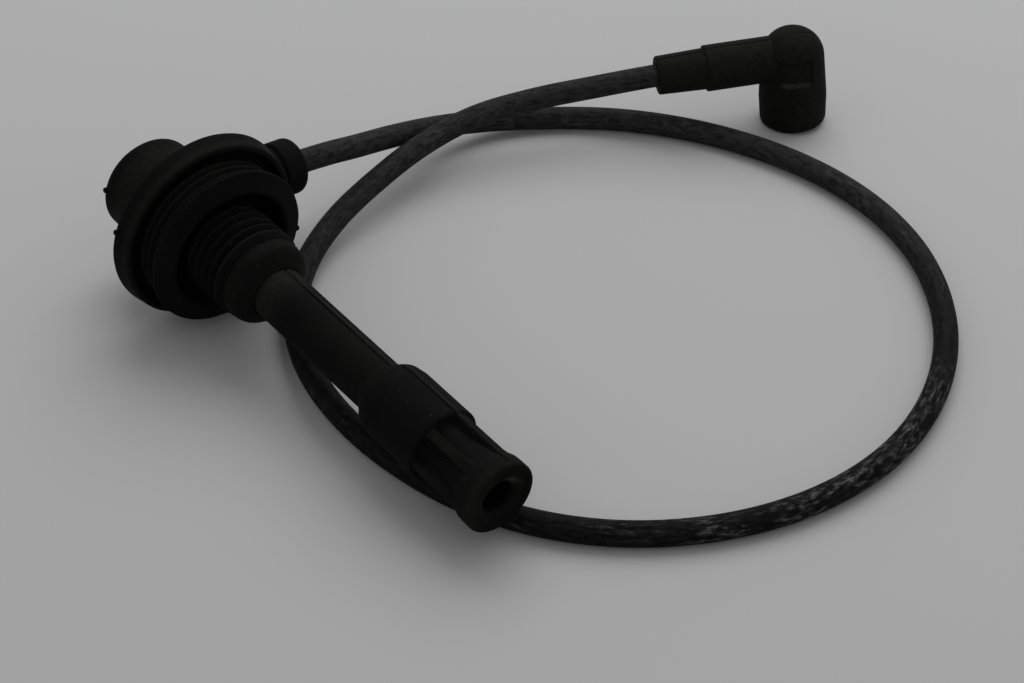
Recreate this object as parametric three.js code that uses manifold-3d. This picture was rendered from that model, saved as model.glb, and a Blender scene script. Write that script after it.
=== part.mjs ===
// Ignition lead for one cylinder, in millimetres with +Z up, lying on a table.
// A long plug boot hangs from a rubber cap that closes the spark plug well. The cable
// leaves the side of the cap, lies in one wide loop and ends in a right-angled boot.
import * as THREE from 'three';
import Module from 'manifold-3d';
import { mergeVertices } from 'three/addons/utils/BufferGeometryUtils.js';

// Cable, and the clearance that every fitted pair keeps
const CABLE_DIAMETER = 7;
const CLEARANCE = 0.3;

// How the boot lies: its datum is on the boot's own axis, in the plane of the flange
const BOOT_AT = { x: -49.8, y: -89.3 };
const BOOT_TILT = 5.0;
const BOOT_HEADING = -0.55;

// Well cap, with stations measured along the boot's axis from the datum. The dome stands a
// little off that axis, away from the cable and down.
const DOME_RADIUS = 14.5;
const DOME_TOP = 30;
const DOME_EDGE = 3;
const DOME_SET_BACK = 1.2;
const DOME_DROP = 1.5;
const FLANGE_EDGE = 1.3;
const FLANGE_RADIUS = 28.1;
const FLANGE_HEIGHT = 6.2;
const FLANGE_WEB = 2.5;
const FLANGE_LIP_RADIUS = 27.1;
const FLANGE_LIP = 1.7;
const SKIRT_RADIUS = 21.4;
const SKIRT_RIBS = 3;
const SKIRT_RIB_START = 1.2;
const SKIRT_RIB_PITCH = 2.8;
const SKIRT_RIB_HEIGHT = 1.2;
const CUP_RADIUS = 24.1;
const CUP_EDGE = 9.9;
const CUP_MOUTH_RADIUS = 17.8;
const CUP_MOUTH = 12.6;
const CUP_FLOOR = 2.6;
const CUP_DRAFT = 1;
const BELLOWS_ROOT = 11.4;
const BELLOWS_CREST = 13.7;
const BELLOWS_RINGS = 5;
const BELLOWS_START = 10.1;
const BELLOWS_PITCH = 3.26;
const NECK_COLLAR_RADIUS = 13;
const NECK_COLLAR_LENGTH = 7.8;
const NECK_COLLAR_ROUND = 3.2;
const CHAMBER_RADIUS = 5.6;
const CHAMBER_TOP = 22;

// Cable outlet on the cap's side
const OUTLET_STATION = -13;
const OUTLET_DROOP = 4.4;
const OUTLET_REACH = 39;
const OUTLET_ROOT_WALL = 2;
const OUTLET_NECK_RADIUS = 7.2;
const OUTLET_FILLET = 2.4;
const OUTLET_BEAD_RADIUS = 8.3;
const OUTLET_BEAD_LENGTH = 7.5;
const OUTLET_BEAD_ROUND = 2.4;

// Plug boot
const TUBE_RADIUS = 7.65;
const TUBE_START = -2.5;
const SHOULDER_START = 81;
const SHOULDER_LENGTH = 7.5;
const BARREL_RADIUS = 10.9;
const BARREL_END = 106.8;
const BARREL_STEP = 1.3;
const BOOT_END = 130.5;
const END_RING_LENGTH = 5.6;
const END_ROUND = 2;
const GRIP_RADIUS = 10.3;
const GRIP_RIBS = 6;
const GRIP_RIB_PHASE = 27.4;
const GRIP_RIB_WIDTH = 3.2;
const GRIP_RIB_FLARE = 3;
const GRIP_FLOOR_RADIUS = 7.9;
const GRIP_RUNOUT = 4;
const MOUTH_RADIUS = 6.2;
const MOUTH_DEPTH = 33;
const MOUTH_EDGE = 1.2;
const ROD_RADIUS = 2;

// Snap sockets of both boots, and the spring and rod inside the plug boot
const SOCKET_RADIUS = 4.4;
const SOCKET_BORE = 3.4;
const SOCKET_SLOT = 1;
const PLUG_SOCKET_LENGTH = 15;
const PLUG_SOCKET_PROUD = 9;
const PLUG_SOCKET_FLOOR = 2;
const CLIP_WIRE_RADIUS = 0.4;
const CLIP_GROOVE_DEPTH = 0.6;
const CLIP_SET_BACK = 4;
const SPRING_LENGTH = 16;
const SPRING_TURNS = 6;
const SPRING_WIRE_RADIUS = 0.45;

// Crimped ends of the cable
const CRIMP_WALL = 0.6;
const CRIMP_LENGTH = 9;
const CRIMP_START = 5;

// Right-angled boot, stood on the mouth of its skirt
const ELBOW_AT = { x: -14.7, y: 107 };
const ELBOW_HEADING = 239.5;
const ELBOW_LEAN = 4;
const ELBOW_HEIGHT = 22.7;
const ELBOW_CROWN_RADIUS = 9.85;
const ELBOW_SKIRT_RADIUS = 10.6;
const ELBOW_SKIRT_BULGE = 9;
const ELBOW_SKIRT_ROUND = 20;
const ELBOW_MOUTH_RADIUS = 10.3;
const ELBOW_MOUTH_EDGE = 1.5;
const ELBOW_BORE_RADIUS = 7;
const ELBOW_BORE_DEPTH = 16.5;
const ELBOW_ARM_RADIUS = 7.2;
const ELBOW_ARM_LENGTH = 27.9;
const ELBOW_COLLAR_RADIUS = 6.45;
const ELBOW_COLLAR_TIP_RADIUS = 6;
const ELBOW_COLLAR_REACH = 43.1;
const ELBOW_PANEL_WIDTH = 11.6;
const ELBOW_PANEL_HEIGHT = 8;
const ELBOW_PANEL_TOP = 25.5;
const ELBOW_PANEL_DEPTH = 0.9;
const ELBOW_SOCKET_END = 8.5;

// Cable centreline from crimp to crimp, chosen by hand
const CABLE_ROUTE = [
  [-62.7, -83.9, 28.1], [-62.7, -72.2, 27.3], [-62.7, -61.3, 26.4], [-62.6, -50.3, 25.6],
  [-62.0, -38.8, 24.6], [-63.6, -28.6, 21.7], [-67.9, -9.6, 15.6], [-70.7, 9.3, 9.5],
  [-68.4, 27.7, 5.2], [-59.3, 44.9, 3.6], [-45.9, 59.7, 3.6], [-30.0, 71.7, 3.6],
  [-12.2, 80.6, 3.6], [6.8, 86.2, 3.6], [26.3, 88.1, 3.6], [45.7, 86.0, 3.6],
  [64.4, 79.8, 3.6], [81.6, 69.7, 3.6], [96.6, 56.5, 3.6], [108.7, 40.6, 3.6],
  [117.3, 22.8, 3.6], [121.9, 3.7, 3.6], [122.0, -16.0, 3.6], [117.7, -35.2, 3.6],
  [109.1, -53.2, 3.6], [96.8, -68.8, 3.6], [81.3, -81.0, 3.6], [63.5, -89.0, 3.6],
  [44.2, -93.0, 3.6], [24.2, -93.7, 3.6], [4.4, -91.0, 3.6], [-14.2, -84.6, 3.6],
  [-30.8, -74.4, 4.1], [-44.4, -60.1, 5.5], [-53.5, -42.8, 7.8], [-58.4, -23.9, 10.8],
  [-61.4, -4.2, 13.4], [-60.8, 15.2, 15.5], [-55.1, 33.8, 17.0], [-46.4, 51.7, 18.6],
  [-37.3, 68.6, 20.3], [-30.7, 79.8, 21.2], [-18.2, 101.1, 22.9],
];
const CABLE_SIDES = 8;
const CABLE_STEPS = 80;

const RUBBER = { color: 0x171717, roughness: 0.72, metalness: 0 };
const CABLE_JACKET = { color: 0x1c1c1d, roughness: 0.62, metalness: 0 };
const BRASS = { color: 0xb08d4a, roughness: 0.35, metalness: 1 };
const STEEL = { color: 0x9a9c9e, roughness: 0.3, metalness: 1 };

const wasm = await Module();
wasm.setup();

const { degToRad } = THREE.MathUtils;

// Closed geometry to a solid for cutting and joining, and back
function solidOf(geometry) {
  const bare = geometry.clone();
  bare.deleteAttribute('normal');
  bare.deleteAttribute('uv');
  const merged = mergeVertices(bare, 1e-4);
  return new wasm.Manifold(new wasm.Mesh({
    numProp: 3,
    vertProperties: new Float32Array(merged.attributes.position.array),
    triVerts: new Uint32Array(merged.index.array),
  }));
}

function geometryOf(solid) {
  const mesh = solid.getMesh();
  const geometry = new THREE.BufferGeometry();
  geometry.setAttribute('position', new THREE.BufferAttribute(new Float32Array(mesh.vertProperties), 3));
  geometry.setIndex(new THREE.BufferAttribute(new Uint32Array(mesh.triVerts), 1));
  geometry.computeVertexNormals();
  return geometry;
}

function meshOf(name, solid, finish) {
  const mesh = new THREE.Mesh(geometryOf(solid), new THREE.MeshStandardMaterial(finish));
  mesh.name = name;
  return mesh;
}

// Lowers a group until its lowest point touches the table
function rest(group) {
  group.position.z -= new THREE.Box3().setFromObject(group, true).min.z;
}

// Outline through [station, radius, rounding] corners, each rounding an arc within its sides
function roundedOutline(corners) {
  const points = corners.map(([station, radius]) => new THREE.Vector2(station, radius));
  return points.flatMap((corner, index) => {
    const rounding = corners[index][2];
    if (!rounding) return [corner];
    const back = points.at(index - 1).clone().sub(corner);
    const ahead = points[(index + 1) % points.length].clone().sub(corner);
    const halfAngle = Math.abs(back.angleTo(ahead)) / 2;
    const longest = 0.48 * Math.min(back.length(), ahead.length());
    const reach = Math.min(rounding / Math.tan(halfAngle), longest);
    const start = corner.clone().addScaledVector(back.normalize(), reach);
    const end = corner.clone().addScaledVector(ahead.normalize(), reach);
    const inward = back.clone().add(ahead).normalize();
    const centre = corner.clone().addScaledVector(inward, reach / Math.cos(halfAngle));
    const spoke = start.clone().sub(centre);
    const lastSpoke = end.clone().sub(centre);
    const turn = Math.atan2(spoke.cross(lastSpoke), spoke.dot(lastSpoke));
    const chords = Math.max(1, Math.round(Math.abs(turn) * Math.sqrt(reach) * 1.3));
    return Array.from({ length: chords + 1 }, (_, chord) => spoke.clone()
      .rotateAround(new THREE.Vector2(), (turn * chord) / chords).add(centre));
  });
}

// Solid turned about +X from an outline that starts and ends on the axis, or closes on itself
function turned(corners, segments) {
  const outline = roundedOutline(corners).map((point) => new THREE.Vector2(point.y, point.x));
  if (THREE.ShapeUtils.isClockWise(outline)) outline.reverse();
  if (corners[0][1] > 0) outline.push(outline[0].clone());
  return solidOf(new THREE.LatheGeometry(outline, segments).rotateZ(-Math.PI / 2));
}

// Full rod about +X between two stations
function rod(start, end, radius, segments = 16) {
  return turned([[start, 0], [start, radius], [end, radius], [end, 0]], segments);
}

// Same solids about +Y or +Z
const alongY = (solid) => solid.rotate([0, 0, 90]);
const alongZ = (solid) => solid.rotate([0, -90, 0]);

// Round wire or cable along a curve
function wireAlong(curve, radius, sides, steps) {
  const section = new THREE.Shape(Array.from({ length: sides }, (_, side) => new THREE.Vector2()
    .set(radius, 0).rotateAround(new THREE.Vector2(), (2 * Math.PI * side) / sides)));
  return solidOf(new THREE.ExtrudeGeometry(section, { steps, bevelEnabled: false, extrudePath: curve }));
}

const cableBore = CABLE_DIAMETER / 2 + CLEARANCE;
const crimpRadius = cableBore + CRIMP_WALL;
const crimpBore = crimpRadius + CLEARANCE;
const crimpEnd = CRIMP_START + CRIMP_LENGTH;
const tubeSeat = TUBE_RADIUS + CLEARANCE;
const rodBore = ROD_RADIUS + CLEARANCE;
const socketSeat = SOCKET_RADIUS + CLEARANCE;
const socketEnd = BOOT_END - MOUTH_DEPTH + PLUG_SOCKET_PROUD;
const socketStart = socketEnd - PLUG_SOCKET_LENGTH;
const springStart = socketStart - SPRING_LENGTH;

// Stepped hole about +X for a crimp and the cable behind it
function cablePassage(reach) {
  return turned([
    [0, 0], [0, crimpBore], [crimpEnd + CLEARANCE, crimpBore],
    [crimpEnd + CLEARANCE, cableBore], [reach, cableBore], [reach, 0],
  ], 20);
}

// Crimp barrel about +X, open at the cable's end
function crimpBarrel() {
  return rod(0, crimpEnd, crimpRadius).subtract(rod(CRIMP_START, crimpEnd + 1, cableBore));
}

// Fine ribs round the skirt, and the folds of the bellows neck, as outline corners
function skirtRibs() {
  return Array.from({ length: SKIRT_RIBS }, (_, rib) => {
    const crest = SKIRT_RIB_START + rib * SKIRT_RIB_PITCH;
    return [
      [crest - SKIRT_RIB_PITCH / 2, SKIRT_RADIUS],
      [crest, SKIRT_RADIUS + SKIRT_RIB_HEIGHT, 0.6],
    ];
  }).flat();
}

function bellowsFolds() {
  return Array.from({ length: BELLOWS_RINGS }, (_, ring) => {
    const crest = BELLOWS_START + ring * BELLOWS_PITCH;
    return [[crest - BELLOWS_PITCH / 2, BELLOWS_ROOT], [crest, BELLOWS_CREST, 0.7]];
  }).flat();
}

// Rubber cap: dome, flange with a turned-down lip, ribbed skirt, cup and bellows neck
function wellCap() {
  const flangeBack = FLANGE_EDGE - FLANGE_HEIGHT;
  const grooveFloor = flangeBack + FLANGE_WEB;
  const lipInside = FLANGE_LIP_RADIUS - FLANGE_LIP;
  const skirtEnd = SKIRT_RIB_START + (SKIRT_RIBS - 0.5) * SKIRT_RIB_PITCH;
  const collarStart = BELLOWS_START + (BELLOWS_RINGS - 0.1) * BELLOWS_PITCH;
  const collarEnd = collarStart + NECK_COLLAR_LENGTH;
  const body = turned([
    [flangeBack, CHAMBER_RADIUS],
    [flangeBack, FLANGE_RADIUS, 0.8],
    [FLANGE_EDGE, FLANGE_LIP_RADIUS, 0.8],
    [FLANGE_EDGE, lipInside, 0.4],
    [grooveFloor, lipInside],
    [grooveFloor, SKIRT_RADIUS],
    ...skirtRibs(),
    [skirtEnd, SKIRT_RADIUS],
    [CUP_EDGE - 1, CUP_RADIUS, 0.6],
    [CUP_EDGE, CUP_RADIUS, 1.2],
    [CUP_MOUTH, CUP_MOUTH_RADIUS, 1],
    [CUP_FLOOR, CUP_MOUTH_RADIUS - CUP_DRAFT, 1],
    [CUP_FLOOR, BELLOWS_ROOT],
    ...bellowsFolds(),
    [collarStart, BELLOWS_ROOT],
    [collarStart, NECK_COLLAR_RADIUS, 0.6],
    [collarEnd - NECK_COLLAR_ROUND, NECK_COLLAR_RADIUS - 0.3, NECK_COLLAR_ROUND],
    [collarEnd, tubeSeat + 0.6, 0.5],
    [collarEnd, tubeSeat],
    [TUBE_START - CLEARANCE, tubeSeat],
    [TUBE_START - CLEARANCE, CHAMBER_RADIUS],
  ], 36);
  const dome = turned([
    [-DOME_TOP, 0],
    [-DOME_TOP, DOME_RADIUS, DOME_EDGE],
    [flangeBack + FLANGE_WEB / 2, DOME_RADIUS],
    [flangeBack + FLANGE_WEB / 2, 0],
  ], 36).translate([0, -DOME_SET_BACK, -DOME_DROP]);
  const chamber = turned([
    [-CHAMBER_TOP, 0],
    [-CHAMBER_TOP, CHAMBER_RADIUS, 1.5],
    [TUBE_START - CLEARANCE, CHAMBER_RADIUS],
    [TUBE_START - CLEARANCE, 0],
  ], 36);
  const neckStart = CHAMBER_RADIUS + OUTLET_ROOT_WALL;
  const beadStart = OUTLET_REACH - OUTLET_BEAD_LENGTH;
  const outlet = turned([
    [neckStart, 0],
    [neckStart, OUTLET_NECK_RADIUS + OUTLET_FILLET],
    [DOME_RADIUS, OUTLET_NECK_RADIUS, OUTLET_FILLET],
    [beadStart, OUTLET_NECK_RADIUS, 0.6],
    [beadStart, OUTLET_BEAD_RADIUS, 2],
    [OUTLET_REACH, OUTLET_BEAD_RADIUS, OUTLET_BEAD_ROUND],
    [OUTLET_REACH, 0],
  ], 24);
  const passage = cablePassage(OUTLET_REACH + 1);
  const cap = body.add(dome).add(alongY(outlet).translate([OUTLET_STATION, 0, 0]));
  return cap.subtract(chamber).subtract(alongY(passage).translate([OUTLET_STATION, 0, 0]));
}

// One grip rib about +X, standing along +Z, its root flared into the barrel
function gripRib() {
  const half = GRIP_RIB_WIDTH / 2;
  const root = BARREL_RADIUS * Math.sin(Math.PI / GRIP_RIBS);
  const shape = new THREE.Shape();
  shape.moveTo(BARREL_END - 1, -root);
  shape.lineTo(BARREL_END, -root);
  shape.quadraticCurveTo(BARREL_END, -half, BARREL_END + GRIP_RIB_FLARE, -half);
  shape.lineTo(BOOT_END, -half);
  shape.lineTo(BOOT_END, half);
  shape.lineTo(BARREL_END + GRIP_RIB_FLARE, half);
  shape.quadraticCurveTo(BARREL_END, half, BARREL_END, root);
  shape.lineTo(BARREL_END - 1, root);
  return solidOf(new THREE.ExtrudeGeometry(shape, {
    depth: 2 * BARREL_RADIUS, bevelEnabled: false, curveSegments: 4,
  }));
}

// Everything between the grip ribs, down to the floor and out along a slope to the end ring
function gripRecesses() {
  const outside = BARREL_RADIUS + 1;
  const ringStart = BOOT_END - END_RING_LENGTH;
  let recesses = turned([
    [BARREL_END, GRIP_FLOOR_RADIUS],
    [BARREL_END, outside],
    [ringStart, outside],
    [ringStart, GRIP_RADIUS],
    [ringStart - GRIP_RUNOUT, GRIP_FLOOR_RADIUS],
  ], 36);
  for (let rib = 0; rib < GRIP_RIBS; rib += 1) {
    const angle = GRIP_RIB_PHASE + (360 * rib) / GRIP_RIBS;
    recesses = recesses.subtract(gripRib().rotate([-angle, 0, 0]));
  }
  return recesses;
}

// Rubber plug boot: tube, bottle shoulder, barrel, ribbed grip and rounded end ring
function plugBoot() {
  const shoulderEnd = SHOULDER_START + SHOULDER_LENGTH;
  return turned([
    [TUBE_START, rodBore],
    [TUBE_START, TUBE_RADIUS, 0.8],
    [SHOULDER_START, TUBE_RADIUS, 3],
    [SHOULDER_START + SHOULDER_LENGTH / 2, BARREL_RADIUS - 0.5, 3],
    [shoulderEnd, BARREL_RADIUS],
    [BARREL_END, BARREL_RADIUS, 0.6],
    [BARREL_END + BARREL_STEP, GRIP_RADIUS],
    [BOOT_END, GRIP_RADIUS, END_ROUND],
    [BOOT_END, MOUTH_RADIUS, MOUTH_EDGE],
    [BOOT_END - MOUTH_DEPTH, MOUTH_RADIUS],
    [BOOT_END - MOUTH_DEPTH, socketSeat],
    [socketStart - CLEARANCE, socketSeat],
    [socketStart - CLEARANCE, rodBore],
  ], 36).subtract(gripRecesses());
}

// Right-angled terminal in the cap: block, crimp barrel on the cable, stud towards the tube
function capTerminal() {
  const block = rod(OUTLET_STATION - crimpRadius, OUTLET_STATION + crimpRadius, CHAMBER_RADIUS - CLEARANCE);
  const stud = rod(OUTLET_STATION, TUBE_START - 2 * CLEARANCE, ROD_RADIUS);
  const across = alongY(crimpBarrel()).translate([OUTLET_STATION, 0, 0]);
  const socket = alongY(rod(CRIMP_START, crimpEnd, cableBore)).translate([OUTLET_STATION, 0, 0]);
  return block.add(stud).subtract(socket).add(across);
}

// Steel rod down the tube, and the spring that presses it against the plug socket
function contactRod() {
  return rod(TUBE_START - CLEARANCE, springStart, ROD_RADIUS, 12);
}

function contactSpring() {
  const coilRadius = ROD_RADIUS - SPRING_WIRE_RADIUS;
  const start = springStart + SPRING_WIRE_RADIUS + CLEARANCE;
  const travel = SPRING_LENGTH - 2 * (SPRING_WIRE_RADIUS + CLEARANCE);
  const steps = SPRING_TURNS * 8;
  const points = Array.from({ length: steps + 1 }, (_, step) => {
    const angle = (2 * Math.PI * SPRING_TURNS * step) / steps;
    const along = start + (travel * step) / steps;
    return new THREE.Vector3(along, coilRadius * Math.cos(angle), coilRadius * Math.sin(angle));
  });
  return wireAlong(new THREE.CatmullRomCurve3(points), SPRING_WIRE_RADIUS, 5, steps);
}

// Outline of a socket about +X, open at its end station, with a groove for its clip
function socketOutline(start, end) {
  const clip = end - CLIP_SET_BACK;
  const half = CLIP_WIRE_RADIUS + CLEARANCE;
  return [
    [start, 0],
    [start, SOCKET_RADIUS, 0.5],
    [clip - half, SOCKET_RADIUS],
    [clip - half, SOCKET_RADIUS - CLIP_GROOVE_DEPTH],
    [clip + half, SOCKET_RADIUS - CLIP_GROOVE_DEPTH],
    [clip + half, SOCKET_RADIUS],
    [end, SOCKET_RADIUS, 0.5],
    [end, SOCKET_BORE],
  ];
}

// Slot across a socket about +X, cut back from its end station
function socketSlot(end, length) {
  const slot = new THREE.BoxGeometry(length, SOCKET_SLOT, 4 * SOCKET_RADIUS);
  return solidOf(slot.translate(end - length / 2, 0, 0));
}

function plugTerminal() {
  const floor = socketStart + PLUG_SOCKET_FLOOR;
  const socket = turned([
    ...socketOutline(socketStart, socketEnd),
    [floor, SOCKET_BORE],
    [floor, 0],
  ], 20);
  return socket.subtract(socketSlot(socketEnd, PLUG_SOCKET_PROUD));
}

// Open wire ring in the groove of a socket about +X
function socketClip(end) {
  const reach = SOCKET_RADIUS - CLIP_GROOVE_DEPTH + CLEARANCE + CLIP_WIRE_RADIUS;
  const steps = 18;
  const points = Array.from({ length: steps + 1 }, (_, step) => {
    const angle = degToRad(30 + (300 * step) / steps);
    return new THREE.Vector3(end - CLIP_SET_BACK, reach * Math.cos(angle), reach * Math.sin(angle));
  });
  return wireAlong(new THREE.CatmullRomCurve3(points), CLIP_WIRE_RADIUS, 5, steps);
}

// Right-angled boot about its skirt's axis, +Z up from the mouth, arm along +X
function elbowBoot() {
  const skirt = turned([
    [0, 0],
    [0, ELBOW_MOUTH_RADIUS, ELBOW_MOUTH_EDGE],
    [ELBOW_SKIRT_BULGE, ELBOW_SKIRT_RADIUS, ELBOW_SKIRT_ROUND],
    [ELBOW_HEIGHT, ELBOW_CROWN_RADIUS],
    [ELBOW_HEIGHT, 0],
  ], 32);
  const crown = solidOf(new THREE.SphereGeometry(ELBOW_CROWN_RADIUS, 32, 14));
  const arm = turned([
    [0, 0],
    [0, ELBOW_ARM_RADIUS],
    [ELBOW_ARM_LENGTH, ELBOW_ARM_RADIUS, 0.6],
    [ELBOW_ARM_LENGTH, ELBOW_COLLAR_RADIUS],
    [ELBOW_COLLAR_REACH, ELBOW_COLLAR_TIP_RADIUS, 0.6],
    [ELBOW_COLLAR_REACH, 0],
  ], 24);
  const roomTop = ELBOW_HEIGHT + crimpBore;
  const bore = turned([
    [-1, 0],
    [-1, ELBOW_BORE_RADIUS],
    [ELBOW_BORE_DEPTH, ELBOW_BORE_RADIUS, 1],
    [ELBOW_BORE_DEPTH, socketSeat],
    [roomTop, socketSeat],
    [roomTop, 0],
  ], 24);
  const across = [0, 0, ELBOW_HEIGHT];
  const panelBottom = ELBOW_PANEL_TOP - ELBOW_PANEL_HEIGHT;
  const panel = new THREE.BoxGeometry(ELBOW_PANEL_WIDTH, ELBOW_SKIRT_RADIUS, ELBOW_PANEL_HEIGHT)
    .translate(0, 1.5 * ELBOW_SKIRT_RADIUS - ELBOW_PANEL_DEPTH, panelBottom + ELBOW_PANEL_HEIGHT / 2);
  return alongZ(skirt).add(crown.translate(across)).add(arm.translate(across))
    .subtract(alongZ(bore)).subtract(cablePassage(ELBOW_COLLAR_REACH + 1).translate(across))
    .subtract(solidOf(panel));
}

// Right-angled terminal of the elbow: socket down the skirt, crimp barrel out along the arm
function elbowTerminal() {
  const top = ELBOW_HEIGHT + crimpRadius;
  const socket = turned([
    ...socketOutline(-top, -ELBOW_SOCKET_END),
    [-ELBOW_BORE_DEPTH, SOCKET_BORE],
    [-ELBOW_BORE_DEPTH, 0],
  ], 20);
  const slotLength = ELBOW_BORE_DEPTH - ELBOW_SOCKET_END;
  const slotted = socket.subtract(socketSlot(-ELBOW_SOCKET_END, slotLength));
  const crossing = rod(CRIMP_START, crimpEnd, cableBore).translate([0, 0, ELBOW_HEIGHT]);
  const barrel = crimpBarrel().translate([0, 0, ELBOW_HEIGHT]);
  return slotted.rotate([0, 90, 0]).subtract(crossing).add(barrel);
}

function elbowClip() {
  return socketClip(-ELBOW_SOCKET_END).rotate([0, 90, 0]);
}

function ignitionCable() {
  const route = new THREE.CatmullRomCurve3(CABLE_ROUTE.map((point) => new THREE.Vector3(...point)));
  return wireAlong(route, CABLE_DIAMETER / 2, CABLE_SIDES, CABLE_STEPS);
}

// The cap and the plug boot share one axis, tilted down towards the plug end
const capAssembly = new THREE.Group();
capAssembly.rotation.x = -degToRad(OUTLET_DROOP);
capAssembly.add(
  meshOf('well_cap', wellCap(), RUBBER),
  meshOf('cap_terminal', capTerminal(), BRASS),
);
const bootAssembly = new THREE.Group();
bootAssembly.position.set(BOOT_AT.x, BOOT_AT.y, 0);
bootAssembly.rotation.order = 'ZYX';
bootAssembly.rotation.set(0, degToRad(BOOT_TILT), degToRad(BOOT_HEADING));
bootAssembly.add(
  capAssembly,
  meshOf('plug_boot', plugBoot(), RUBBER),
  meshOf('contact_rod', contactRod(), STEEL),
  meshOf('contact_spring', contactSpring(), STEEL),
  meshOf('plug_terminal', plugTerminal(), BRASS),
  meshOf('plug_terminal_clip', socketClip(socketEnd), STEEL),
);
rest(bootAssembly);

// The elbow stands on its mouth and leans towards its arm
const elbowAssembly = new THREE.Group();
elbowAssembly.position.set(ELBOW_AT.x, ELBOW_AT.y, 0);
elbowAssembly.rotation.order = 'ZYX';
elbowAssembly.rotation.set(0, degToRad(ELBOW_LEAN), degToRad(ELBOW_HEADING));
elbowAssembly.add(
  meshOf('elbow_boot', elbowBoot(), RUBBER),
  meshOf('elbow_terminal', elbowTerminal(), BRASS),
  meshOf('elbow_terminal_clip', elbowClip(), STEEL),
);
rest(elbowAssembly);

const lead = new THREE.Group();
lead.add(bootAssembly, elbowAssembly, meshOf('ignition_cable', ignitionCable(), CABLE_JACKET));

export default lead;
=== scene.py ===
"""Ignition lead on a pale table: a long plug boot with its well cap, the looped cable and the
right-angled end boot, all in black moulded rubber."""

import math

import bmesh
import bpy
from mathutils import Matrix, Vector, noise


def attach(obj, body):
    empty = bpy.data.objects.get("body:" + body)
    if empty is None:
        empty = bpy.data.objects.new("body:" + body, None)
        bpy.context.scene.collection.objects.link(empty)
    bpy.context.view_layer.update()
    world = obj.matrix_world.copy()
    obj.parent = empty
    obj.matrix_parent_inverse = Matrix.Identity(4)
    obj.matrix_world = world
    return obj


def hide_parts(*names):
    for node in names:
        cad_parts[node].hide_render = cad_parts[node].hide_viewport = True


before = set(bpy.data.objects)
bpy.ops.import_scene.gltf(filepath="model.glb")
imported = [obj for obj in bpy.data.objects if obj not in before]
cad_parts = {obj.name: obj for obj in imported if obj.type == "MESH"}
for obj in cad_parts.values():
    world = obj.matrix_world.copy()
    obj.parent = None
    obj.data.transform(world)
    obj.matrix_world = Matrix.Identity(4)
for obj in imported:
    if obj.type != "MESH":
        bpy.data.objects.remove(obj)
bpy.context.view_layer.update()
MM = 0.001


# Camera
# A short telephoto lens looks down on the table from the plug end's side, from where the boot
# points to the lower right of the picture and the end boot stands at the upper right.
camera_data = bpy.data.cameras.new("camera")
camera_data.lens = 55
camera_data.sensor_width = 22.3
camera_data.clip_start = 0.05
camera_data.clip_end = 20
camera = bpy.data.objects.new("camera", camera_data)
camera.location = (0.4462, -0.3908, 0.4359)
look_at = Vector((0.0169, -0.0344, 0))
camera.rotation_mode = "QUATERNION"
camera.rotation_quaternion = (look_at - camera.location).to_track_quat("-Z", "Y")
bpy.context.scene.collection.objects.link(camera)
bpy.context.scene.camera = camera


# Ignition cable
# A 7 mm high-tension cable with a black rubber jacket. It leaves the side of the cap, drops to
# the table, lies in one loop under the boot's end and over itself, and rises to the end boot.
CABLE_DIAMETER = 7 * MM
CABLE_ROUTE_MM = [
    (-62.7, -83.9, 28.1), (-62.7, -72.2, 27.3), (-62.7, -61.3, 26.4), (-62.6, -50.3, 25.6),
    (-62.0, -38.8, 24.6), (-63.6, -28.6, 21.7), (-67.9, -9.6, 15.6), (-70.7, 9.3, 9.5),
    (-68.4, 27.7, 5.2), (-59.3, 44.9, 3.6), (-45.9, 59.7, 3.6), (-30.0, 71.7, 3.6),
    (-12.2, 80.6, 3.6), (6.8, 86.2, 3.6), (26.3, 88.1, 3.6), (45.7, 86.0, 3.6),
    (64.4, 79.8, 3.6), (81.6, 69.7, 3.6), (96.6, 56.5, 3.6), (108.7, 40.6, 3.6),
    (117.3, 22.8, 3.6), (121.9, 3.7, 3.6), (122.0, -16.0, 3.6), (117.7, -35.2, 3.6),
    (109.1, -53.2, 3.6), (96.8, -68.8, 3.6), (81.3, -81.0, 3.6), (63.5, -89.0, 3.6),
    (44.2, -93.0, 3.6), (24.2, -93.7, 3.6), (4.4, -91.0, 3.6), (-14.2, -84.6, 3.6),
    (-30.8, -74.4, 4.1), (-44.4, -60.1, 5.5), (-53.5, -42.8, 7.8), (-58.4, -23.9, 10.8),
    (-61.4, -4.2, 13.4), (-60.8, 15.2, 15.5), (-55.1, 33.8, 17.0), (-46.4, 51.7, 18.6),
    (-37.3, 68.6, 20.3), (-30.7, 79.8, 21.2), (-18.2, 101.1, 22.9),
]
HIDDEN_START_POINTS = 2
CABLE_SIDES = 32
CABLE_STEP = 1.6 * MM
SEAM_ANGLE = -math.pi / 2
JACKET_BLACK = (0.0030, 0.0030, 0.0032, 1)
JACKET_RUBBED = (0.0095, 0.0095, 0.0100, 1)
JACKET_FADED = (0.026, 0.026, 0.0266, 1)
CHALK = (0.13, 0.13, 0.137, 1)
JACKET_DUST = (0.06, 0.058, 0.052, 1)


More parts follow.
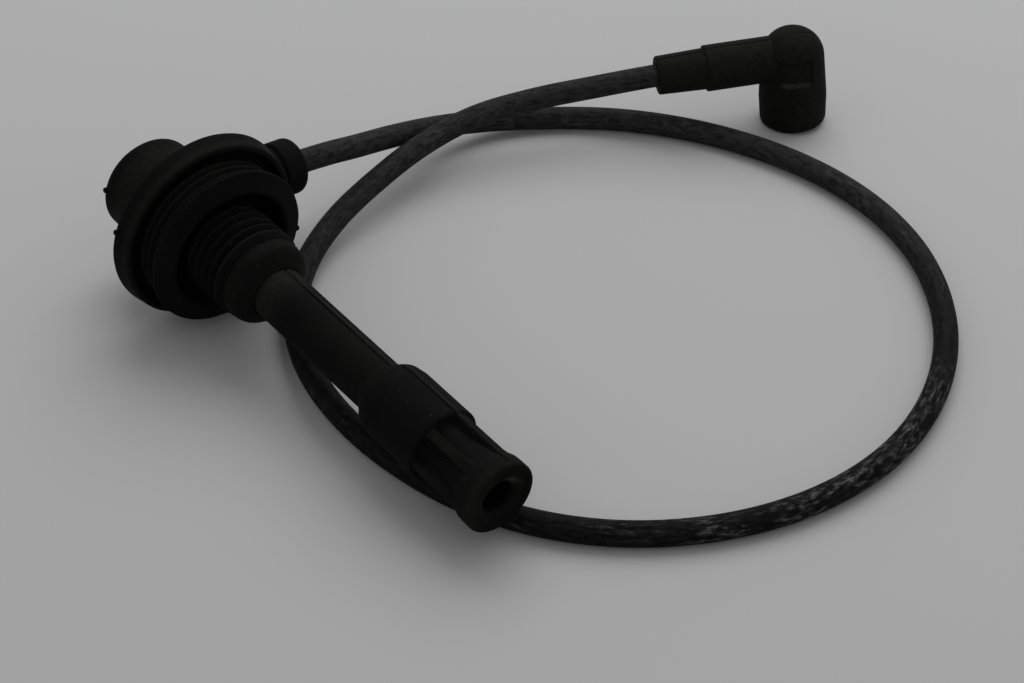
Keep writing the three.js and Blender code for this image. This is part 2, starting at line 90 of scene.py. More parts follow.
def smooth_path(points, step, parts=40):
    """Points every step along a smooth curve through the given ones, and the curve's length. The
    curve is measured in so many parts from each given point to the next."""
    ends = [2 * points[0] - points[1], *points, 2 * points[-1] - points[-2]]
    fine = []
    for before, start, end, after in zip(ends, ends[1:], ends[2:], ends[3:]):
        sides = ((before, start), (start, end), (end, after))
        gaps = [max((b - a).length, 1e-9) ** 0.5 for a, b in sides]
        leave = gaps[1] * ((start - before) / gaps[0] - (end - before) / (gaps[0] + gaps[1])
                           + (end - start) / gaps[1])
        arrive = gaps[1] * ((end - start) / gaps[1] - (after - start) / (gaps[1] + gaps[2])
                            + (after - end) / gaps[2])
        for part in range(parts):
            t = part / parts
            fine.append(start * (2 * t**3 - 3 * t**2 + 1) + leave * (t**3 - 2 * t**2 + t)
                        + end * (3 * t**2 - 2 * t**3) + arrive * (t**3 - t**2))
    fine.append(points[-1].copy())
    reach = [0.0]
    for a, b in zip(fine, fine[1:]):
        reach.append(reach[-1] + (b - a).length)
    count = round(reach[-1] / step)
    path, index = [], 0
    for number in range(count + 1):
        want = reach[-1] * number / count
        while index < len(reach) - 2 and reach[index + 1] < want:
            index += 1
        share = (want - reach[index]) / (reach[index + 1] - reach[index])
        path.append(fine[index].lerp(fine[index + 1], share))
    return path, reach[-1]


class Value:
    """A node socket on which Python's operators add maths nodes."""

    def __init__(self, nodes, socket):
        self.nodes = nodes
        self.socket = socket

    def maths(self, operation, *others):
        return self.nodes.node("ShaderNodeMath", {"operation": operation}, dict(enumerate((self, *others))))

    def __add__(self, other):
        return self.maths("ADD", other)

    def __sub__(self, other):
        return self.maths("SUBTRACT", other)

    def __rsub__(self, other):
        return (self * -1) + other

    def __mul__(self, other):
        return self.maths("MULTIPLY", other)

    def __truediv__(self, other):
        return self.maths("DIVIDE", other)

    def __rtruediv__(self, other):
        return self.maths("POWER", -1) * other

    __radd__ = __add__
    __rmul__ = __mul__

    def rises(self, low, high):
        """0 below low, 1 above high and a smooth step between; falls where high is below low."""
        settings = {"interpolation_type": "SMOOTHSTEP"}
        values = {"Value": self, "From Min": min(low, high), "From Max": max(low, high)}
        if low > high:
            values |= {"To Min": 1, "To Max": 0}
        return self.nodes.node("ShaderNodeMapRange", settings, values)


class Nodes:
    """A node tree built from Python expressions."""

    def __init__(self, tree):
        self.tree = tree

    def put(self, socket, value):
        if isinstance(value, Value):
            self.tree.links.new(value.socket, socket)
        else:
            socket.default_value = value

    def node(self, kind, settings=None, values=None, output=0):
        made = self.tree.nodes.new(kind)
        for name, setting in (settings or {}).items():
            setattr(made, name, setting)
        for name, value in (values or {}).items():
            self.put(made.inputs[name], value)
        return Value(self, made.outputs[output])

    def grain(self, coordinates, scale, detail=3, roughness=0.55):
        values = {"Vector": coordinates, "Scale": scale, "Detail": detail, "Roughness": roughness}
        return self.node("ShaderNodeTexNoise", None, values)


class Shader(Nodes):
    """A material."""

    def __init__(self, name):
        self.material = bpy.data.materials.new(name)
        self.material.use_nodes = True
        super().__init__(self.material.node_tree)
        self.surface = self.tree.nodes["Principled BSDF"]

    def stretched(self, coordinates, scale):
        """Coordinates with a scale of their own on each axis."""
        return self.node("ShaderNodeVectorMath", {"operation": "MULTIPLY"}, {0: coordinates, 1: scale})

    def mixed(self, factor, first, second):
        mix = self.tree.nodes.new("ShaderNodeMix")
        mix.data_type = "RGBA"
        for index, value in ((0, factor), (6, first), (7, second)):
            self.put(mix.inputs[index], value)
        return Value(self, mix.outputs[2])

    def bumped(self, strength, distance, height):
        values = {"Strength": strength, "Distance": distance, "Height": height}
        return self.node("ShaderNodeBump", None, values)

    def finish(self, **values):
        for name, value in values.items():
            self.put(self.surface.inputs[name.replace("_", " ")], value)
        return self.material


class Shaping(Nodes):
    """A Geometry Nodes tree with named inputs, run once on a piece."""

    def __init__(self, name, **sizes):
        super().__init__(bpy.data.node_groups.new(name, "GeometryNodeTree"))
        self.sizes = sizes
        for way in ("INPUT", "OUTPUT"):
            self.tree.interface.new_socket("Geometry", in_out=way, socket_type="NodeSocketGeometry")
        for label, size in sizes.items():
            kind = "NodeSocketInt" if isinstance(size, int) else "NodeSocketFloat"
            self.tree.interface.new_socket(label, in_out="INPUT", socket_type=kind)
        self.entry = self.tree.nodes.new("NodeGroupInput")

    def given(self, label):
        return Value(self, self.entry.outputs[label])

    def captured(self, geometry, field):
        """The geometry, and the field's values kept on its points."""
        keeper = self.tree.nodes.new("GeometryNodeCaptureAttribute")
        keeper.capture_items.new("FLOAT", "Kept")
        self.put(keeper.inputs["Geometry"], geometry)
        self.put(keeper.inputs["Kept"], field)
        return Value(self, keeper.outputs["Geometry"]), Value(self, keeper.outputs["Kept"])

    def run(self, piece, geometry, material):
        """Ends the tree, and leaves its result on the piece as a plain mesh."""
        loose = self.node("GeometryNodeRealizeInstances", None, {"Geometry": geometry})
        done = self.node("GeometryNodeSetMaterial", None, {"Geometry": loose, "Material": material})
        self.put(self.tree.nodes.new("NodeGroupOutput").inputs["Geometry"], done)
        modifier = piece.modifiers.new(self.tree.name, "NODES")
        modifier.node_group = self.tree
        for item in self.tree.interface.items_tree:
            if item.in_out == "INPUT" and item.name in self.sizes:
                modifier[item.identifier] = self.sizes[item.name]
        graph = bpy.context.evaluated_depsgraph_get()
        mesh = bpy.data.meshes.new_from_object(piece.evaluated_get(graph))
        piece.modifiers.remove(modifier)
        piece.data = mesh


def cable_finish():
    """Black satin jacket, faded towards both ends, with chalky streaks along it, most of all on
    the stretch of the loop that comes back to the boot."""
    shader = Shader("cable_jacket")
    unwrapped = shader.node("ShaderNodeUVMap", {"uv_map": "unwrapped"})
    place = shader.node("ShaderNodeTexCoord", output="Object")
    along = shader.node("ShaderNodeSeparateXYZ", None, {0: unwrapped}, output="X")
    streaks = shader.grain(shader.stretched(unwrapped, (260, 800, 1)), 1, detail=6, roughness=0.7)
    clouds = shader.grain(shader.stretched(unwrapped, (55, 150, 1)), 1, detail=3)
    worn = along.rises(0.28, 0.35) * along.rises(0.45, 0.37)
    chalk = streaks.rises(0.46, 0.72) * (clouds + worn * 0.1).rises(0.47, 0.66) * (worn * 0.78 + 0.22)
    dust = shader.grain(place, 2400, detail=2).rises(0.62, 0.80)
    base = shader.mixed(streaks.rises(0.35, 0.65), JACKET_BLACK, JACKET_RUBBED)
    faded = 1 - along.rises(0.22, 0.30) * along.rises(0.62, 0.54)
    base = shader.mixed(faded * streaks.rises(0.25, 0.65), base, JACKET_FADED)
    base = shader.mixed(chalk, base, CHALK)
    base = shader.mixed(dust * 0.25, base, JACKET_DUST)
    fine = shader.grain(shader.stretched(unwrapped, (500, 2600, 1)), 1, detail=2)
    roughness = chalk * 0.2 + clouds * 0.12 + 0.52
    shader.surface.inputs["Specular IOR Level"].default_value = 0.03
    return shader.finish(Base_Color=base, Roughness=roughness, Normal=shader.bumped(0.25, 0.06 * MM, fine))


def piece_from(name, vertices, faces, edges=()):
    """A smooth-shaded object with its place in its mesh."""
    mesh = bpy.data.meshes.new(name)
    mesh.from_pydata(vertices, edges, faces)
    mesh.validate()
    mesh.shade_smooth()
    piece = bpy.data.objects.new(name, mesh)
    bpy.context.scene.collection.objects.link(piece)
    return piece


def faced_outwards(piece):
    """Merges doubles, closes open ends and turns every face outwards."""
    shell = bmesh.new()
    shell.from_mesh(piece.data)
    bmesh.ops.remove_doubles(shell, verts=shell.verts, dist=1e-7)
    bmesh.ops.holes_fill(shell, edges=[edge for edge in shell.edges if edge.is_boundary], sides=0)
    bmesh.ops.recalc_face_normals(shell, faces=shell.faces)
    shell.to_mesh(piece.data)
    shell.free()
    piece.data.shade_smooth()


def make_cable():
    route = [Vector(point) * MM for point in CABLE_ROUTE_MM[HIDDEN_START_POINTS:]]
    path, length = smooth_path(route, CABLE_STEP)
    links = list(zip(range(len(path) - 1), range(1, len(path))))
    cable = piece_from("cable_jacket", path, [], links)
    sweep = Shaping("cable_sweep", Diameter=CABLE_DIAMETER, Sides=CABLE_SIDES)
    line = sweep.node("GeometryNodeMeshToCurve", None, {"Mesh": sweep.given("Geometry")})
    line = sweep.node("GeometryNodeSetCurveNormal", {"mode": "Z_UP"}, {"Curve": line})
    line, along = sweep.captured(line, sweep.node("GeometryNodeSplineParameter", output="Length"))
    section = sweep.node("GeometryNodeCurveArc", {"mode": "RADIUS"}, {
        "Resolution": sweep.given("Sides") + 1, "Radius": sweep.given("Diameter") / 2,
        "Start Angle": SEAM_ANGLE, "Sweep Angle": 2 * math.pi,
    })
    section, around = sweep.captured(section, sweep.node("GeometryNodeSplineParameter", output="Factor"))
    tube = sweep.node("GeometryNodeCurveToMesh", None, {"Curve": line, "Profile Curve": section})
    flat = sweep.node("ShaderNodeCombineXYZ", None, {
        "X": along, "Y": around * sweep.given("Diameter") * math.pi,
    })
    tube = sweep.node("GeometryNodeStoreNamedAttribute", {"data_type": "FLOAT2", "domain": "CORNER"}, {
        "Geometry": tube, "Name": "unwrapped", "Value": flat,
    })
    sweep.run(cable, tube, cable_finish())
    faced_outwards(cable)
    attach(cable, "root")
    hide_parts("ignition_cable")


make_cable()


# Well cap
# One soft rubber moulding: a dome that holds the cable's terminal, a flange with a turned-down
# lip that closes the plug well, a ribbed skirt that grips it, and a bellows neck on the boot.
BOOT_DATUM = Vector((-49.8, -89.3, 27.416)) * MM
BOOT_PLACE = (Matrix.Translation(BOOT_DATUM) @ Matrix.Rotation(math.radians(-0.55), 4, "Z")
              @ Matrix.Rotation(math.radians(5), 4, "Y"))
CAP_PLACE = BOOT_PLACE @ Matrix.Rotation(math.radians(-4.4), 4, "X")
OUTLET_STATION = -13 * MM
DOME_ASIDE, DOME_LIFT = -1.2, -1.5
# A nub has a station, an angle in degrees and a radius, measured from a middle off the axis.
MOULD_NUBS = (
    (-28, 280, 14.3, DOME_ASIDE, DOME_LIFT), (-4, 283, 27.9, 0, 0), (9.4, 97, 23.9, 0, 0),
)
TERMINAL_RADIUS = 4.7
TERMINAL_DEPTH = 14.3
CABLE_BORE_RADIUS = 3.8
SEAM_SHIFTS = (-0.05, -0.03, -0.015, 0, 0.015, 0.03, 0.05, 0.075, 0.1, 0.13)
RUBBER_BLACK = (0.0034, 0.0034, 0.0034, 1)
RUBBER_CLOUDED = (0.0048, 0.0048, 0.0045, 1)
RUBBER_SCUFFED = (0.006, 0.0059, 0.0055, 1)
RUBBER_SPECKS = (0.09, 0.085, 0.075, 1)
RUBBER_DUST_AND_PAINTED_LIGHT = (0.045, 0.044, 0.039, 1)


def rubber_finish():
    """Matt black moulded rubber, dusty, with paler specks and a fine matt skin. The dust colour
    also paints light where the dust attribute carries painted highlights.
    """
    shader = Shader("boot_rubber")
    place = shader.node("ShaderNodeTexCoord", output="Object")
    clouds = shader.grain(place, 60, detail=4)
    specks = shader.grain(place, 1500, detail=2).rises(0.68, 0.78)
    scuffs = shader.grain(place, 260, detail=6, roughness=0.7).rises(0.52, 0.75)
    base = shader.mixed(clouds.rises(0.35, 0.7), RUBBER_BLACK, RUBBER_CLOUDED)
    base = shader.mixed(scuffs * 0.25, base, RUBBER_SCUFFED)
    base = shader.mixed(specks * 0.35, base, RUBBER_SPECKS)
    # The dust attribute holds dust and, on the plug boot and the end boot's panel ledge, painted highlights,
    # all mixed in with the dust colour.
    dust = shader.node("ShaderNodeAttribute", {"attribute_name": "dust"}, output="Fac")
    powder = shader.grain(place, 700, detail=5, roughness=0.7).rises(0.05, 0.85)
    base = shader.mixed(dust * powder, base, RUBBER_DUST_AND_PAINTED_LIGHT)
    skin = shader.grain(place, 2200, detail=3)
    shader.surface.inputs["Specular IOR Level"].default_value = 0.025
    return shader.finish(Base_Color=base, Roughness=clouds * 0.12 + 0.60,
                         Normal=shader.bumped(0.3, 0.05 * MM, skin))


rubber = rubber_finish()


def rounded(corners, chord=0.25):
    """Outline through (station, radius, rounding) corners, each rounding an arc of short chords."""
    points = []
    for index, (station, radius, *rounding) in enumerate(corners):
        corner = Vector((station, radius))
        if not rounding:
            points.append(corner)
            continue
        back = Vector(corners[index - 1][:2]) - corner
        ahead = Vector(corners[(index + 1) % len(corners)][:2]) - corner
        half = back.angle(ahead) / 2
        reach = min(rounding[0] / math.tan(half), 0.48 * min(back.length, ahead.length))
        start = corner + back.normalized() * reach
        end = corner + ahead.normalized() * reach
        centre = corner + (back.normalized() + ahead.normalized()).normalized() * reach / math.cos(half)
        spoke, last = start - centre, end - centre
        turn = math.atan2(spoke.x * last.y - spoke.y * last.x, spoke.dot(last))
        chords = max(2, math.ceil(abs(turn) * spoke.length / chord))
        for step in range(chords + 1):
            points.append(centre + Matrix.Rotation(turn * step / chords, 2) @ spoke)
    return points


def divided(outline, longest, fine):
    """The outline with no side over the longest length, and finer sides between two stations."""
    low, high, short = fine
    points = [outline[0]]
    for start, end in zip(outline, outline[1:]):
        inside = min(start.x, end.x) < high and max(start.x, end.x) > low
        parts = max(1, math.ceil((end - start).length / (short if inside else longest)))
        points += [start.lerp(end, part / parts) for part in range(1, parts + 1)]
    return points


def turned(name, corners, sides=192, longest=1.5, fine=(0, 0, 1), seams=(), swell=None, dust=None):
    """A piece turned about local X from an outline in millimetres. A closed outline leaves a hole
    along the axis. Extra sides stand beside each seam, which is an angle in degrees, swell moves
    the surface out or in, and dust says how much dust lies on it, and on some pieces how much
    painted light."""
    closed = corners[0][1] > 0
    outline = rounded(corners)
    outline = divided([*outline, outline[0]] if closed else outline, longest, fine)
    rings = outline[:-1] if closed else outline[1:-1]
    angles = sorted({side * 2 * math.pi / sides for side in range(sides)} | {
        (math.radians(seam) + shift) % (2 * math.pi) for seam in seams for shift in SEAM_SHIFTS})
    count = len(angles)
    vertices, faces, powder = [], [], []
    for station, radius in rings:
        for angle in angles:
            powder.append(dust(station, radius, angle) if dust else 0)
            out = radius + (swell(station, radius, angle) if swell else 0)
            vertices.append(Vector((station, out * math.sin(angle), out * math.cos(angle))) * MM)
    for ring in range(len(rings) if closed else len(rings) - 1):
        low, high = ring * count, (ring + 1) % len(rings) * count
        faces += [(low + side, high + side, high + (side + 1) % count, low + (side + 1) % count)
                  for side in range(count)]
    if not closed:
        faces += [tuple(range(count)), tuple(range(len(vertices) - count, len(vertices)))]
    piece = piece_from(name, vertices, faces)
    piece.data.attributes.new("dust", "FLOAT", "POINT").data.foreach_set("value", powder)
    faced_outwards(piece)
    return piece


def placed(piece, place):
    piece.data.transform(place)
    return piece


def joined(piece, others, operation="UNION"):
    """Applies exact booleans with the other pieces, which are then gone."""
    for other in others:
        cut = piece.modifiers.new("join", "BOOLEAN")
        cut.operation = operation
        cut.solver = "EXACT"
        cut.object = other
        graph = bpy.context.evaluated_depsgraph_get()
        result = bpy.data.meshes.new_from_object(piece.evaluated_get(graph))
        piece.modifiers.remove(cut)
        piece.data = result
        bpy.data.objects.remove(other)
    piece.data.shade_smooth()


def moulding(piece, node_name):
    """Gives a finished piece the rubber, hangs it on the root body and hides the CAD node whose
    visible form it is.
    """
    piece.data.materials.clear()
    piece.data.materials.append(rubber)
    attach(piece, "root")
    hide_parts(node_name)


def skirt_ribs(start=1.2, pitch=2.8, valley=20.9, height=1.9, count=3):
    corners = []
    for rib in range(count):
        crest = start + rib * pitch
        corners += [(crest - pitch / 2, valley, 0.25), (crest, valley + height, 0.3)]
    return corners + [(start + (count - 0.5) * pitch, valley, 0.25)]


def bellows(start=10.1, pitch=3.26, root=11.1, crest=13.8, count=5):
    corners = []
    for ring in range(count):
        corners += [(start + (ring - 0.5) * pitch, root, 0.25), (start + ring * pitch, crest, 0.4)]
    return corners


def slack(station, radius, angle):
    """Slow unevenness of a soft moulding, and finer unevenness on the worn bellows."""
    spot = Vector((station, math.sin(angle) * radius, math.cos(angle) * radius))
    on_bellows = 3 < station < 27 and 9 < radius < 16
    worn = 0.2 * noise.noise(spot * 0.55) if on_bellows else 0
    return 0.16 * noise.noise(spot * 0.1) * min(1, radius / 10) + worn


def cap_dust(station, radius, angle):
    """More dust on the collar's front and on the crests of the bellows and ribs."""
    if station > 27:
        return 0.05
    on_bellows_crest = station > 3 and 13.4 < radius < 14
    on_rib_crest = -1 < station < 8.5 and radius > 22.2
    return 0.12 if on_bellows_crest or on_rib_crest else 0


def cable_passage(length):
    """The hole from the middle of a boot outwards: first round the terminal, then the cable."""
    return turned("passage", [
        (0, 0), (0, TERMINAL_RADIUS), (TERMINAL_DEPTH, TERMINAL_RADIUS),
        (TERMINAL_DEPTH, CABLE_BORE_RADIUS), (length, CABLE_BORE_RADIUS), (length, 0),
    ], sides=64)


def mould_nub(station, angle, radius, aside, lift):
    """A nub left on the surface where the rubber ran into a vent of the mould."""
    nub = turned("nub", [(-1.2, 0), (-1.2, 1.0), (0.8, 0.8, 0.5), (0.8, 0)], sides=24)
    out = Vector((0, math.sin(math.radians(angle)), math.cos(math.radians(angle))))
    spot = (Vector((station, aside, lift)) + out * radius) * MM
    return placed(nub, Matrix.Translation(spot) @ out.to_track_quat("X", "Z").to_matrix().to_4x4())


def make_well_cap():
    cap = turned("cap_moulding", [
        (-4.9, 5.6), (-4.9, 28.1, 0.8), (1.3, 27.1, 0.8), (1.3, 25.4, 0.4), (-2.4, 25.4, 0.4),
        (-2.4, 20.9, 0.4), *skirt_ribs(), (8.9, 24.1, 0.8), (9.9, 24.1, 1.2), (12.6, 17.8, 1),
        (2.6, 16.8, 1), (2.6, 11.4, 0.6), *bellows(), (26.07, 11.1, 0.3), (26.07, 12.8, 0.6),
        (30.2, 12.4, 3.4), (33.87, 8.0, 1.2), (33.87, 7.8), (-2.8, 7.8), (-2.8, 5.6),
    ], sides=200, longest=1.2, fine=(2.7, 26, 0.5), swell=slack, dust=cap_dust)
    dome = turned("dome", [(-30, 0), (-30, 14.5, 3), (-3.6, 14.5), (-3.6, 0)], swell=slack)
    placed(dome, Matrix.Translation((0, DOME_ASIDE * MM, DOME_LIFT * MM)))
    chamber = turned("chamber", [(-22, 0), (-22, 5.6, 1.5), (-2.8, 5.6), (-2.8, 0)], sides=64)
    sideways = Matrix.Translation((OUTLET_STATION, 0, 0)) @ Matrix.Rotation(math.pi / 2, 4, "Z")
    outlet = turned("outlet", [
        (7.6, 0), (7.6, 9.6), (14.5, 7.2, 2.4), (31.5, 7.2, 0.6), (31.5, 8.3, 2), (39, 8.3, 2.4), (39, 0),
    ], sides=128)
    dome_nub, *cap_nubs = [mould_nub(*nub) for nub in MOULD_NUBS]
    joined(dome, [dome_nub])
    joined(cap, [*cap_nubs, dome, placed(outlet, sideways)])
    joined(cap, [chamber, placed(cable_passage(40), sideways)], "DIFFERENCE")
    moulding(placed(cap, CAP_PLACE), "well_cap")


make_well_cap()


# Plug boot
# A harder rubber moulding that reaches down the plug well: a plain tube, a bottle shoulder, and
# a barrel that ends in a grip of six ribs between pockets and a rounded ring round the mouth.
BOOT_SEAMS = (17.5, 197.5)
SEAM_GROOVE, SEAM_RIDGE = 0.6, 0.06
GROOVE_REACH = 0.5
OUTSIDE_RADIUS = 7
RING_FRONT = 129
GRIP_SIZES = {
    "Ribs": 6, "Phase": math.radians(27.4), "Rib width": 3.2, "Floor": 7.9,
    "Start": 107.5, "Arch": 0.4, "Run-out": 11.0, "End": 125.5,
}


def smoothstep(low, high, value):
    share = min(1, max(0, (value - low) / (high - low)))
    return share * share * (3 - 2 * share)


def turn_past(angle, degrees):
    """Angle from a mark at so many degrees, between minus and plus half a turn."""
    return (angle - math.radians(degrees) + math.pi) % (2 * math.pi) - math.pi


def past_seam(radius, angle):
    """Arc in millimetres from the nearer parting line, positive past it and negative before it."""
    return min((turn_past(angle, seam) for seam in BOOT_SEAMS), key=abs) * radius


def parting_line(station, radius, angle):
    """A groove and a low ridge beside it, where the two halves of the mould met."""
    if radius < OUTSIDE_RADIUS or station > RING_FRONT:
        return 0
    across = past_seam(radius, angle)
    groove = max(0, 1 - abs(across) / GROOVE_REACH)
    ridge = max(0, 1 - abs(across - 0.9) / GROOVE_REACH)
    return SEAM_RIDGE * ridge - SEAM_GROOVE * groove


def boot_dust_and_painted_light(station, radius, angle):
    """Dust and a painted rim highlight in the band beside the parting line; dust in front of the
    cap's collar, on the grip's ribs and thinly towards the ring; a painted highlight on the lit side
    of the mouth's inner wall, over thin dust, and a paler painted lit side on the end face."""
    # The band beside the parting line is dust with a painted rim highlight, where the surface turns towards
    # the light.
    beside_seam = 0.45 < past_seam(radius, angle) < 1.9
    band = 0.22 if beside_seam and radius > OUTSIDE_RADIUS and station < RING_FRONT else 0
    band *= 1 - 0.5 * smoothstep(104, 110, station)
    start = max(0, 1 - abs(station - 36) / 9) * 0.3
    crest = max(0, math.cos(GRIP_SIZES["Ribs"] * (angle - GRIP_SIZES["Phase"])) * 2 - 1)
    ribs = 0.12 * crest * smoothstep(107, 111, station) * (1 - smoothstep(117, 123, station))
    # A painted highlight: the inner wall on the lit side of the mouth is made pale as if lit from above,
    # over thin dust.
    lit = max(0, math.cos(angle - math.radians(35)))
    mouth = 0.05 + 0.95 * lit ** 6 if station > 127.5 and radius < 6.8 else 0
    # Painted light: one side of the end face is made paler by angle, the other left dark as shade.
    face = 0.22 * max(0, math.cos(angle + math.radians(80))) if station > RING_FRONT else 0
    return max(band, start, ribs, mouth, face, 0.05 * smoothstep(122, 126, station))


def make_plug_boot():
    boot = turned("plug_boot_moulding", [
        (-2.5, 2.3), (-2.5, 7.65, 0.8), (81, 7.65, 3), (84.75, 10.4, 3), (88.5, 10.9), (106.8, 10.9, 0.5),
        (107.6, 10.3), (123, 10.3), (127, 10.6), (130.6, 10.6, 1.8), (130.6, 9, 0.3), (130.2, 8.7, 0.3),
        (130.2, 7.6, 0.3), (130.6, 7.2, 0.3), (130.6, 6.7, 0.5), (129.3, 4.9, 0.5), (128.2, 4.6, 0.3),
        (127.4, 6.2, 0.3), (97.5, 6.2), (97.5, 4.7), (91.2, 4.7), (91.2, 2.3),
    ], sides=288, longest=3, fine=(104, 127, 0.35), seams=BOOT_SEAMS, swell=parting_line, dust=boot_dust_and_painted_light)
    grip = Shaping("grip_pockets", **GRIP_SIZES)

    def coordinate(axis):
        return grip.node("ShaderNodeSeparateXYZ", None, {0: grip.node("GeometryNodeInputPosition")},
                         output=axis) / MM

    station, aside, lift = coordinate("X"), coordinate("Y"), coordinate("Z")
    radius = (aside * aside + lift * lift).maths("SQRT")
    angle = aside.maths("ARCTAN2", lift)
    gap = 2 * math.pi / grip.given("Ribs")
    turn = (angle - grip.given("Phase")).maths("WRAP", gap, 0)
    beside = turn.maths("MINIMUM", gap - turn) * radius
    half_rib = grip.given("Rib width") / 2
    half_pocket = gap * radius / 2 - half_rib
    from_middle = (half_rib + half_pocket - beside) / half_pocket
    arch = (1 - from_middle * from_middle).maths("MAXIMUM", 0).maths("SQRT") * grip.given("Arch")
    into = station - grip.given("Start") - grip.given("Arch") + arch
    deep = into.rises(-0.2, 0.5)
    across = (beside - half_rib).rises(-0.2, 0.35)
    run_out = ((grip.given("End") - station) / grip.given("Run-out")).maths("MINIMUM", 1).maths("MAXIMUM", 0)
    outside = radius.maths("GREATER_THAN", OUTSIDE_RADIUS)
    depth = (radius - grip.given("Floor")).maths("MAXIMUM", 0) * across * deep * run_out * outside
    inward = grip.node("ShaderNodeCombineXYZ", None, {
        "Y": aside / radius * depth * -MM, "Z": lift / radius * depth * -MM})
    pockets = grip.node("GeometryNodeSetPosition", None, {
        "Geometry": grip.given("Geometry"), "Offset": inward})
    grip.run(boot, pockets, rubber)
    moulding(placed(boot, BOOT_PLACE), "plug_boot")


make_plug_boot()


# Metal inside the boots
# Stamped brass sockets and a steel spring, rod and wire clips. Only the plug socket's end shows,
# deep in the mouth of the boot.
def metal_finish(name, colour, roughness):
    shader = Shader(name)
    place = shader.node("ShaderNodeTexCoord", output="Object")
    stains = shader.grain(place, 700, detail=4)
    darker = tuple(channel * 0.55 for channel in colour)
    base = shader.mixed(stains.rises(0.35, 0.7), (*colour, 1), (*darker, 1))
    return shader.finish(Base_Color=base, Metallic=1.0, Roughness=stains * 0.3 + roughness)


brass = metal_finish("brass", (0.44, 0.27, 0.09), 0.2)
steel = metal_finish("steel", (0.32, 0.33, 0.34), 0.2)
for node_name, finish in {
    "cap_terminal": brass, "plug_terminal": brass, "elbow_terminal": brass,
    "contact_rod": steel, "contact_spring": steel, "plug_terminal_clip": steel,
    "elbow_terminal_clip": steel,
}.items():
    node_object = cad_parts[node_name]
    node_object.data.materials.clear()
    node_object.data.materials.append(finish)


# End boot
# A right-angled rubber moulding with a domed heel. Its skirt slips over the tower and its arm
# over the cable, a parting line runs over the top, and a bare panel is let into the skirt's side.
ELBOW_PLACE = (Matrix.Translation(Vector((-14.7, 107, 0.617)) * MM)
               @ Matrix.Rotation(math.radians(239.5), 4, "Z") @ Matrix.Rotation(math.radians(4), 4, "Y"))
ELBOW_HEIGHT = 22.7
CROWN_RADIUS = 9.85
CROWN_HEIGHT = 9.5
CROWN_STEPS = 60
ELBOW_SEAMS = (0, 180)
ELBOW_SEAM_GROOVE = 0.35
ELBOW_SEAM_ASIDE = 0.2
PANEL_ANGLE = 97


def seam_groove(radius, angle, aside):
    """The parting line's groove, which lies so far aside of the middle of the moulding."""
    return -ELBOW_SEAM_GROOVE * max(0, 1 - abs(math.sin(angle) * radius - aside) / 0.42)


def beside_panel(radius, angle):
    """Arc in millimetres from the middle of the panel."""
    return abs(turn_past(angle, PANEL_ANGLE)) * radius


def skirt_relief(station, radius, angle):
    """Parting line over the heel and down both ends of the skirt, and the panel in its side."""
    if radius < 1.5 or station < 0.5:
        return 0
    from_arm = 1 - smoothstep(2, 8, radius * math.cos(angle))
    line = seam_groove(radius, angle, ELBOW_SEAM_ASIDE + 2 * from_arm * smoothstep(20, 25, station))
    panel = 1 - smoothstep(5.5, 5.8, beside_panel(radius, angle))
    panel *= smoothstep(17.3, 17.9, station) * (1 - smoothstep(25.2, 25.5, station))
    return line - panel


def arm_relief(station, radius, angle):
    """Parting line over the top of the arm and below it."""
    return seam_groove(radius, angle, ELBOW_SEAM_ASIDE) if radius > 5 else 0


def skirt_dust_and_painted_light(station, radius, angle):
    """Dust with a painted highlight on the panel's lower edge, which faces up to the light, and dust
    thinly all over.
    """
    # The ledge's pale strip is partly dust and partly a painted highlight where the edge faces the lamp
    # above.
    ledge = smoothstep(16.6, 17.4, station) * (1 - smoothstep(17.8, 18.6, station))
    return 0.2 + 0.5 * ledge * (1 - smoothstep(3.6, 5.4, beside_panel(radius, angle)))


def arm_dust(station, radius, angle):
    """Dust thinly all over, and on the step down to the collar."""
    return 0.4 if 27.3 < station < 28.3 else 0.2


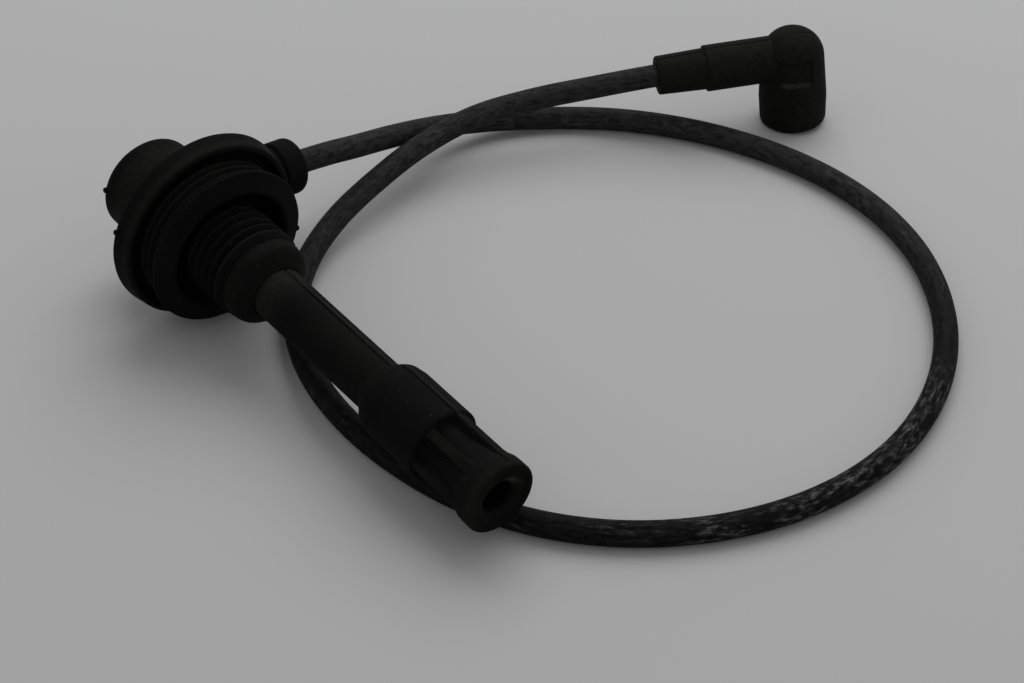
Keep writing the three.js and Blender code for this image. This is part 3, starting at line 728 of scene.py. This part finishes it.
def make_elbow():
    upright = ELBOW_PLACE @ Matrix.Rotation(-math.pi / 2, 4, "Y")
    across = ELBOW_PLACE @ Matrix.Translation((0, 0, ELBOW_HEIGHT * MM))
    crown_turns = [step * math.pi / 2 / CROWN_STEPS for step in range(1, CROWN_STEPS)]
    crown = [(ELBOW_HEIGHT + CROWN_HEIGHT * math.sin(turn), CROWN_RADIUS * math.cos(turn))
             for turn in crown_turns]
    elbow = turned("elbow_moulding", [
        (0, 0), (0, 10.3, 1.5), (9, 10.6, 20), (ELBOW_HEIGHT, CROWN_RADIUS), *crown,
        (ELBOW_HEIGHT + CROWN_HEIGHT, 0),
    ], sides=288, fine=(16.5, 26, 0.3), seams=ELBOW_SEAMS, swell=skirt_relief, dust=skirt_dust_and_painted_light)
    arm = turned("arm", [
        (0, 0), (0, 7.2), (27.9, 7.2, 0.6), (27.9, 6.45, 0.2), (43.1, 6, 0.6), (43.1, 0),
    ], sides=144, seams=ELBOW_SEAMS, swell=arm_relief, dust=arm_dust)
    bore = turned("bore", [
        (-1, 0), (-1, 7), (16.5, 7, 1), (16.5, TERMINAL_RADIUS), (27.4, TERMINAL_RADIUS), (27.4, 0),
    ], sides=96)
    passage = cable_passage(44.1)
    placed(elbow, upright)
    joined(elbow, [placed(arm, across)])
    joined(elbow, [placed(bore, upright), placed(passage, across)], "DIFFERENCE")
    moulding(elbow, "elbow_boot")


make_elbow()


# Table and light
# A pale grey sheet lies flat under soft, even light, from one large lamp above and behind the lead
# and from the white walls of the room. Its colour is painted paler towards the far side, as a
# painted falloff of that light.
TABLE_REACH = 3
SHEET_GREY = (0.385, 0.385, 0.390, 1)
SHEET_PALE = (0.425, 0.425, 0.430, 1)


def make_table():
    corners = [(x * TABLE_REACH, y * TABLE_REACH, 0) for x, y in ((-1, -1), (1, -1), (1, 1), (-1, 1))]
    table = piece_from("table", corners, [(0, 1, 2, 3)])
    shader = Shader("pale_sheet")
    place = shader.node("ShaderNodeTexCoord", output="Object")
    away = shader.node("ShaderNodeVectorMath", {"operation": "DOT_PRODUCT"},
                       {0: place, 1: (-0.7, 0.7, 0)}, output="Value")
    # Painted light: the sheet grows paler away from the camera, as the light's falloff, with a faint random
    # grain on top.
    painted_falloff_and_grain = away.rises(-0.25, 0.4) * 0.8 + shader.grain(place, 3, detail=2) * 0.2
    base = shader.mixed(painted_falloff_and_grain, SHEET_GREY, SHEET_PALE)
    table.data.materials.append(shader.finish(Base_Color=base, Roughness=0.85))


def area_lamp(name, place, target, size, power):
    data = bpy.data.lights.new(name, "AREA")
    data.shape = "DISK"
    data.size = size
    data.energy = power
    lamp = bpy.data.objects.new(name, data)
    lamp.location = place
    lamp.rotation_mode = "QUATERNION"
    lamp.rotation_quaternion = (Vector(target) - Vector(place)).to_track_quat("-Z", "Y")
    bpy.context.scene.collection.objects.link(lamp)


make_table()
area_lamp("overhead", place=(-0.5, 0.75, 1.35), target=(0, 0.1, 0), size=1.7, power=15.5)
room = bpy.data.worlds.new("room")
room.use_nodes = True
walls = room.node_tree.nodes["Background"]
walls.inputs["Color"].default_value = (1, 1, 1, 1)
walls.inputs["Strength"].default_value = 0.56
bpy.context.scene.world = room
bpy.context.scene.view_settings.view_transform = "Standard"
